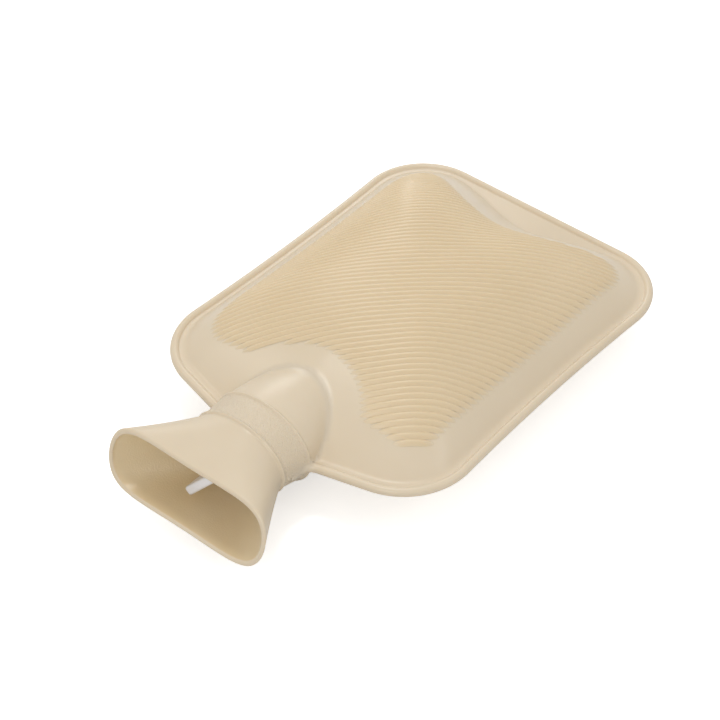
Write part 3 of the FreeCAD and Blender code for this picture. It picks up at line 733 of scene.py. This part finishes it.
# Closed smooth section led by twelve poles, as x and z shares round the neck's axis
def sectionPoints(wide, high, squareness):
    quarter = [[a + (b - a) * squareness for a, b in zip(o, m)] for o, m in zip(ovalPoles, mouthPoles)]
    poles = list(quarter) + [(-x, z) for x, z in quarter[2::-1]]
    poles += [(-x, -z) for x, z in quarter[1:]] + [(x, -z) for x, z in quarter[2:0:-1]]
    poles = np.array(poles)
    t = np.arange(aroundCount) * len(poles) / aroundCount
    i = t.astype(int)
    u = (t - i)[:, None]
    weights = ((1 - u) ** 3 / 6, (3 * u ** 3 - 6 * u ** 2 + 4) / 6,
               (-3 * u ** 3 + 3 * u ** 2 + 3 * u + 1) / 6, u ** 3 / 6)
    n = len(poles)
    curve = sum(w * poles[(i + k - 1) % n] for k, w in enumerate(weights))
    return curve * np.array((wide, high))


# Rings of the neck's skin, how far they may settle, and where its grain lies
neckRings = {
    "hood": 46, "ridge": 9, "collar": 12, "funnel": 27, "rim": (18, 162, 9), "nose": 0.004,
    "floorShares": (0.985, 0.975), "floorGap": 0.02, "settle": (-1.5, 5),
    "grainBefore": 1.0, "grainAfter": 1.5, "innerGrain": 0.3, "innerGrainFrom": 4,
}


# Neck: one skin from the hood's nose over collar and funnel to the rim, and back down the inside
def neckShell():
    rings, directions = [], []
    outer, inner = neckForm["collarOuter"], neckForm["collarInner"]
    mouth, lip, wall = neckForm["mouth"], neckForm["lip"], neckForm["wall"]
    tilt = math.tan(math.radians(neckForm["tilt"]))
    mouthW, mouthH = neckForm["mouthWidth"] / 2, neckForm["mouthHeight"] / 2
    funnelAxis = seam + neckForm["rise"]

    def lay(xz, y, axis=funnelAxis, direction=(0.0, 0.0, 0.0)):
        rings.append(np.column_stack((xz[:, 0], np.broadcast_to(y, len(xz)), xz[:, 1] + axis)))
        directions.append(np.broadcast_to(direction, (len(xz), 3)))

    def outwardOf(xz, w, h, forward=0.0):
        n = np.column_stack((xz[:, 0] / w ** 2, np.full(len(xz), forward), xz[:, 1] / h ** 2))
        return n / np.linalg.norm(n, axis=1)[:, None]

    # Hood, from its nose back to the collar
    power, length = neckForm["hoodPower"], neckForm["hoodLength"]
    for share in np.sin(np.linspace(math.pi / 2, 0, neckRings["hood"]))[:-1]:
        w, h = neckForm["width"] / 2 * (1 + neckForm["hoodSpread"] * share), neckForm["height"] / 2
        axis = seam + neckForm["hoodRise"] + neckForm["noseRise"] * share ** neckForm["nosePower"]
        width = max(math.sqrt(1 - share ** power), neckRings["nose"])
        xz = sectionPoints(w * width, h * width, 0)
        forward = power / 2 * share ** (power - 1) / length
        lay(xz, inner + length * share, axis, outwardOf(xz, w, h, forward))
    # Collar between its two ridges
    half = neckForm["ridgeWidth"] / 2
    ridge = np.linspace(1, -1, neckRings["ridge"]) * half
    between = np.linspace(inner - half, outer + half, neckRings["collar"])[1:-1]
    for y in np.concatenate((inner + ridge, between, outer + ridge)):
        w, h, axis = neckAt(y)
        xz = sectionPoints(w, h, 0)
        lay(xz, y, axis, outwardOf(xz, w, h))
    upTo = len(rings) * aroundCount
    # Funnel outside
    start = outer - half
    throatW, throatH, _ = neckAt(start)
    shares = np.linspace(0, 1, neckRings["funnel"])
    for t in shares[1:]:
        ease = t ** neckForm["flare"]
        xz = sectionPoints(throatW + (mouthW - throatW) * ease, throatH + (mouthH - throatH) * ease, ease)
        lay(xz, start + (mouth + lip - start) * t + xz[:, 1] * tilt * t)
    # Rounded rim
    for angle in np.radians(np.linspace(*neckRings["rim"])):
        inset = wall / 2 * (1 - math.cos(angle))
        xz = sectionPoints(mouthW - inset, mouthH - inset, 1)
        lay(xz, mouth + lip * (1 - math.sin(angle)) + xz[:, 1] * tilt)
    # Funnel inside, down to the floor round the insert
    innerStart = len(rings) * aroundCount
    floor, radius = neckForm["floor"], neckForm["floorRadius"]
    for t in shares:
        ease = t ** neckForm["flare"]
        w = mouthW - wall + (radius - mouthW + wall) * ease
        h = mouthH - wall + (radius - mouthH + wall) * ease
        xz = sectionPoints(w, h, 1 - ease)
        lay(xz, mouth + lip + (floor - mouth - lip) * t + xz[:, 1] * tilt * (1 - t))
    for share in neckRings["floorShares"]:
        lay(sectionPoints(radius * share, radius * share, 0), floor + neckRings["floorGap"])
    # Hood and collar settle on the bottle's skin, and the funnel stays as laid
    settled = np.concatenate(rings)
    outward = np.concatenate(directions)[:upTo]
    settled[:upTo] = settle(settled[:upTo], outward, *neckRings["settle"])
    depth = np.zeros(len(settled))
    depth[:upTo] = neckDistance(settled[:upTo]) - bodyDistance(settled[:upTo])
    settled[:upTo] -= giveWay(outward, depth[:upTo])
    faces = keptFaces(ringFaces(len(rings), aroundCount, flip=True), depth)
    before, after, y = neckRings["grainBefore"], neckRings["grainAfter"], settled[:, 1]
    grain = smoothStep(outer - before, outer + after, y) * smoothStep(inner + before, inner - after, y)
    grain[upTo:] = 0
    grain[innerStart + neckRings["innerGrainFrom"] * aroundCount:] = neckRings["innerGrain"]
    # Mask of the funnel's inside, where the rubber takes a painted tint of bounce light and shade
    inside = np.zeros(len(settled))
    inside[innerStart:] = 1
    return settled, faces, {"grain": grain, "inside": inside}


def joinShells():
    bodyPoints, bodyFaces = bodyShell()
    print("bag's body laid out:", len(bodyFaces), "faces")
    neckPoints, neckFaces, neckMarks = neckShell()
    print("neck laid out:", len(neckFaces), "faces")
    first = len(bodyPoints)
    faces = bodyFaces + [tuple(i + first for i in f) for f in neckFaces]
    mesh = meshFrom("rubberBag", np.concatenate((bodyPoints, neckPoints)), faces)
    for mark, values in neckMarks.items():
        values = np.concatenate((np.zeros(first), values)).astype(np.float32)
        mesh.attributes.new(mark, "FLOAT", "POINT").data.foreach_set("value", values)
    mesh.shade_smooth()
    mesh.materials.append(smoothRubber)
    bm = bmesh.new()
    bm.from_mesh(mesh)
    loose = [v for v in bm.verts if not v.link_faces]
    bmesh.ops.delete(bm, geom=loose, context="VERTS")
    bm.to_mesh(mesh)
    bm.free()
    return addPiece("rubberBag", mesh)


rubberBag = joinShells()
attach(rubberBag, "bottle")
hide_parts("rubber_bag")


# Ribs, swept along their lines by Geometry Nodes and set down on the face
def makeRibs():
    lines = ribLines()
    source = lineObject("ribRuns", lines)
    guide = guideObject()
    group, ids = ribTree()
    modifier = source.modifiers.new("sweep", "NODES")
    modifier.node_group = group
    endDrop = ribSet["height"] + ribSet["root"] + ribSet["sunk"]
    for key, value in {
        "guide": guide, "finish": ribbedRubber, "width": ribSet["pitch"] * mm,
        "height": ribSet["height"] * mm, "root": ribSet["root"] * mm, "crown": ribSet["crown"],
        "endLength": ribSet["endLength"] * mm, "endDrop": endDrop * mm,
    }.items():
        modifier[ids[key]] = value
    graph = bpy.context.evaluated_depsgraph_get()
    mesh = bpy.data.meshes.new_from_object(source.evaluated_get(graph))
    mesh.name = "ribbedField"
    bpy.data.objects.remove(source)
    bpy.data.objects.remove(guide)
    print("ribs swept:", len(lines), "ribs,", len(mesh.polygons), "faces")
    return addPiece("ribbedField", mesh)


ribs = makeRibs()
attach(ribs, "bottle")


# A node that keeps its own shape, as the washer does, takes its finish here
def finishNode(node, material):
    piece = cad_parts[node]
    piece.data.materials.clear()
    piece.data.materials.append(material)


finishNode("sealing_washer", makeRubber("washerRubber", rubberLook["washer"]))


# Pieces turned about the neck's axis, with heights measured outward from the funnel's floor
def turnedPoints(radius, angle, height):
    x = radius * np.cos(angle)
    z = neckForm["rise"] + seam + radius * np.sin(angle)
    return np.column_stack((x, np.broadcast_to(neckForm["floor"] - height, len(x)), z))


# Forms of the turned pieces: radii, and heights from the funnel's floor
turnedSet = {"around": 120, "axisRadius": 0.01, "merge": 2e-6, "sharpAngle": 40}
threadForm = {"pitch": 4.0, "crest": 0.7, "base": 2.3, "step": 0.2, "fade": 2.0}
stopperForm = {
    "nose": 5.6, "noseEnd": -21.8, "lip": 7.2, "lipThick": 1.4,
    "stem": 11.55, "stemEnd": -18.3, "stemEdge": 0.5, "lift": 1.4, "threadTop": -1.8, "threadLow": -17.4,
    "neck": 12.4, "neckHeight": 0.8, "capRadius": 15.5, "capLow": 0.3, "capHigh": 3.8, "capEdge": 0.4,
    "capRound": 1.1, "turn": 50.0, "wingWidth": 28.0, "wingThick": 5.2, "wingEnd": 25.2, "wingRound": 1.5,
    "wingSunk": 1.2, "wingRings": 6, "wingAround": 56, "wingAngles": (20, 40, 60, 80, 90),
}
insertForm = {
    "bore": 13.3, "boreEdge": 0.3, "lift": -1.4, "threadTop": -0.8, "threadLow": -15.6,
    "flange": 18.0, "flangeThick": 2.0, "flangeEdge": 0.2, "body": 16.5,
    "barb": 17.8, "barbTop": -10.0, "barbLow": -14.0, "end": -24.0, "ledge": 7.9, "ledgeTop": -21.8,
}


# How far a helical ridge stands out at a place: 1 on its crest and 0 between its turns
def threadShare(angle, height, shift):
    pitch = threadForm["pitch"]
    off = np.abs((height / pitch - angle / (2 * math.pi) + shift) % 1 - 0.5) * pitch
    return smoothStep(threadForm["base"] / 2, threadForm["crest"] / 2, off)


# Rows without a thread, each from a radius and a height
def plainRows(*places):
    return [(radius, height, 0.0, 0.0) for radius, height in places]


# Rows of a threaded length, the ridge rising and dying away at its two ends
def threadRows(radius, top, low, lift, shift):
    heights = np.arange(top, low, -threadForm["step"])
    fade = threadForm["fade"]
    grow = smoothStep(top, top - fade, heights) * smoothStep(low, low + fade, heights)
    return [(radius, h, lift * g, shift) for h, g in zip(heights, grow)]


def roundedEdge(radius, height, size, start, end, count=5):
    angles = np.radians(np.linspace(start, end, count))
    return plainRows(*((radius + size * math.cos(a), height + size * math.sin(a)) for a in angles))


def closedTurned(rows):
    around = turnedSet["around"]
    angle = np.linspace(0, 2 * math.pi, around, endpoint=False)
    rings = [turnedPoints(r + lift * threadShare(angle, h, shift), angle, h) for r, h, lift, shift in rows]
    return np.concatenate(rings), ringFaces(len(rings), around)


def finishTurned(name, points, faces, material):
    mesh = meshFrom(name, points, faces)
    bm = bmesh.new()
    bm.from_mesh(mesh)
    bmesh.ops.remove_doubles(bm, verts=bm.verts, dist=turnedSet["merge"])
    bmesh.ops.recalc_face_normals(bm, faces=bm.faces)
    bm.to_mesh(mesh)
    bm.free()
    mesh.shade_smooth()
    mesh.set_sharp_from_angle(angle=math.radians(turnedSet["sharpAngle"]))
    mesh.materials.append(material)
    return addPiece(name, mesh)


# Wing: rings of a slab with rounded edges, standing on the cap
def wingRings():
    f = stopperForm
    edge, around = f["wingRound"], f["wingAround"]
    t = np.linspace(0, 2 * math.pi, around, endpoint=False)
    turn = math.radians(f["turn"])
    a, b = f["wingWidth"] / 2 - edge, f["wingThick"] / 2 - edge
    straight = np.linspace(f["capHigh"] - f["wingSunk"], f["wingEnd"] - edge, f["wingRings"])
    rounded = [f["wingEnd"] - edge * (1 - math.sin(angle)) for angle in np.radians(f["wingAngles"])]
    rings = []
    for h in [*straight, *rounded]:
        over = max(0.0, (h - (f["wingEnd"] - edge)) / edge)
        inset = edge * (1 - math.sqrt(max(0.0, 1 - over ** 2)))
        x = np.sign(np.cos(t)) * a + np.cos(t) * (edge - inset)
        y = np.sign(np.sin(t)) * b + np.sin(t) * (edge - inset)
        across = x * math.cos(turn) - y * math.sin(turn)
        up = x * math.sin(turn) + y * math.cos(turn)
        out = np.full(around, neckForm["floor"] - h)
        rings.append(np.column_stack((across, out, seam + neckForm["rise"] + up)))
    return rings


def makeStopper():
    f = stopperForm
    half, cap = f["lipThick"] / 2, f["capRound"]
    tip = f["noseEnd"] - f["lipThick"]
    rows = plainRows((turnedSet["axisRadius"], tip), (f["nose"], tip))
    rows += roundedEdge(f["lip"] - half, f["noseEnd"] - half, half, -60, 90)
    rows += plainRows(
        (f["nose"], f["noseEnd"]), (f["nose"], f["stemEnd"]),
        (f["stem"] - f["stemEdge"], f["stemEnd"]), (f["stem"], f["stemEnd"] + f["stemEdge"]),
    )
    rows += threadRows(f["stem"], f["threadTop"], f["threadLow"], f["lift"], 0.0)[::-1]
    rows += plainRows(
        (f["neck"], f["capLow"] - f["neckHeight"]), (f["neck"], f["capLow"]),
        (f["capRadius"] - f["capEdge"], f["capLow"]), (f["capRadius"], f["capLow"] + f["capEdge"]),
    )
    rows += roundedEdge(f["capRadius"] - cap, f["capHigh"] - cap, cap, 0, 90, 7)
    rows += plainRows((turnedSet["axisRadius"], f["capHigh"]))
    points, faces = closedTurned(rows)
    wing, around = wingRings(), f["wingAround"]
    first = len(points)
    last = first + (len(wing) - 1) * around
    faces += ringFaces(len(wing), around, first)
    faces += [tuple(range(first, first + around)), tuple(range(last, last + around))]
    return finishTurned("screwStopper", np.concatenate([points, *wing]), faces, makePlastic())


def makeInsert():
    f = insertForm
    rows = plainRows(
        (f["bore"], -f["boreEdge"]), (f["bore"] + f["boreEdge"], 0),
        (f["flange"] - f["flangeEdge"], 0), (f["flange"], -f["flangeEdge"]),
        (f["flange"], -f["flangeThick"]), (f["body"], -f["flangeThick"]),
        (f["body"], f["barbTop"]), (f["barb"], f["barbTop"]), (f["barb"], f["barbLow"]),
        (f["body"], f["barbLow"]), (f["body"], f["end"]), (f["ledge"], f["end"]),
        (f["ledge"], f["ledgeTop"]), (f["bore"], f["ledgeTop"]),
    )
    rows += threadRows(f["bore"], f["threadTop"], f["threadLow"], f["lift"], 0.5)[::-1]
    rows += rows[:1]
    return finishTurned("threadedInsert", *closedTurned(rows), makeBrass())


stopper = makeStopper()
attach(stopper, "stopper")
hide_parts("screw_stopper")
insert = makeInsert()
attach(insert, "bottle")
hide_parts("threaded_insert")
print("stopper and insert turned:", len(stopper.data.polygons), len(insert.data.polygons))


# Room: pale floor that keeps a faint shadow, and soft lamps on every side
roomSet = {
    "floorReach": 6000, "floorColour": (0.86, 0.86, 0.86), "floorRoughness": 0.9, "floorGlow": 0.55,
    "world": 0.62, "worldColour": (1.0, 0.99, 0.97),
    "lamps": {
        "overheadLamp": {"place": (-0.25, 0.1, 1.5), "size": 0.25, "power": 4.2},
        "leftLamp": {"place": (-1.0, -0.3, 1.08), "size": 0.25, "power": 0.9},
        "backLamp": {"place": (-0.93, 1.0, 0.82), "size": 0.5, "power": 2.5},
        "rightLamp": {"place": (1.0, 0.35, 1.06), "size": 0.3, "power": 1.0},
        "frontLamp": {"place": (0.45, -1.2, 0.85), "size": 0.5, "power": 3.2},
    },
}


def makeFloor():
    reach = roomSet["floorReach"]
    corners = [(-reach, -reach, 0), (reach, -reach, 0), (reach, reach, 0), (-reach, reach, 0)]
    mesh = meshFrom("floor", corners, [(0, 1, 2, 3)])
    floor = addPiece("floor", mesh)
    finish = Finish("paleFloor")
    seen = finish.node("ShaderNodeLightPath").outputs["Is Camera Ray"]
    finish.fill(finish.shader, {
        "Base Color": (*roomSet["floorColour"], 1), "Roughness": roomSet["floorRoughness"],
        "Specular IOR Level": 0.0, "Emission Color": (1, 1, 1, 1),
        "Emission Strength": finish.sum("MULTIPLY", seen, roomSet["floorGlow"]),
    })
    mesh.materials.append(finish.material)


def makeWorld():
    world = bpy.data.worlds.new("studioWorld")
    bpy.context.scene.world = world
    world.use_nodes = True
    sheet = Sheet(world.node_tree)
    ground = next(n for n in sheet.nodes if n.type == "BACKGROUND")
    path = sheet.node("ShaderNodeLightPath").outputs
    seen = path["Is Camera Ray"]
    for ray in ("Is Glossy Ray", "Is Transmission Ray"):
        seen = sheet.sum("MAXIMUM", seen, path[ray])
    level = sheet.node("ShaderNodeMapRange", {"Value": seen, "To Min": roomSet["world"], "To Max": 1.0})
    sheet.fill(ground, {"Color": (*roomSet["worldColour"], 1), "Strength": level.outputs["Result"]})


def makeLamp(name, place, size, power):
    data = bpy.data.lights.new(name, "AREA")
    data.shape = "SQUARE"
    data.size = size
    data.energy = power
    lamp = bpy.data.objects.new(name, data)
    bpy.context.scene.collection.objects.link(lamp)
    away = Vector(place)
    lamp.location = away
    lamp.rotation_euler = away.to_track_quat("Z", "Y").to_euler()


makeFloor()
makeWorld()
for name, lamp in roomSet["lamps"].items():
    makeLamp(name, lamp["place"], lamp["size"], lamp["power"])
bpy.context.scene.view_settings.view_transform = "Standard"
print("room lit")
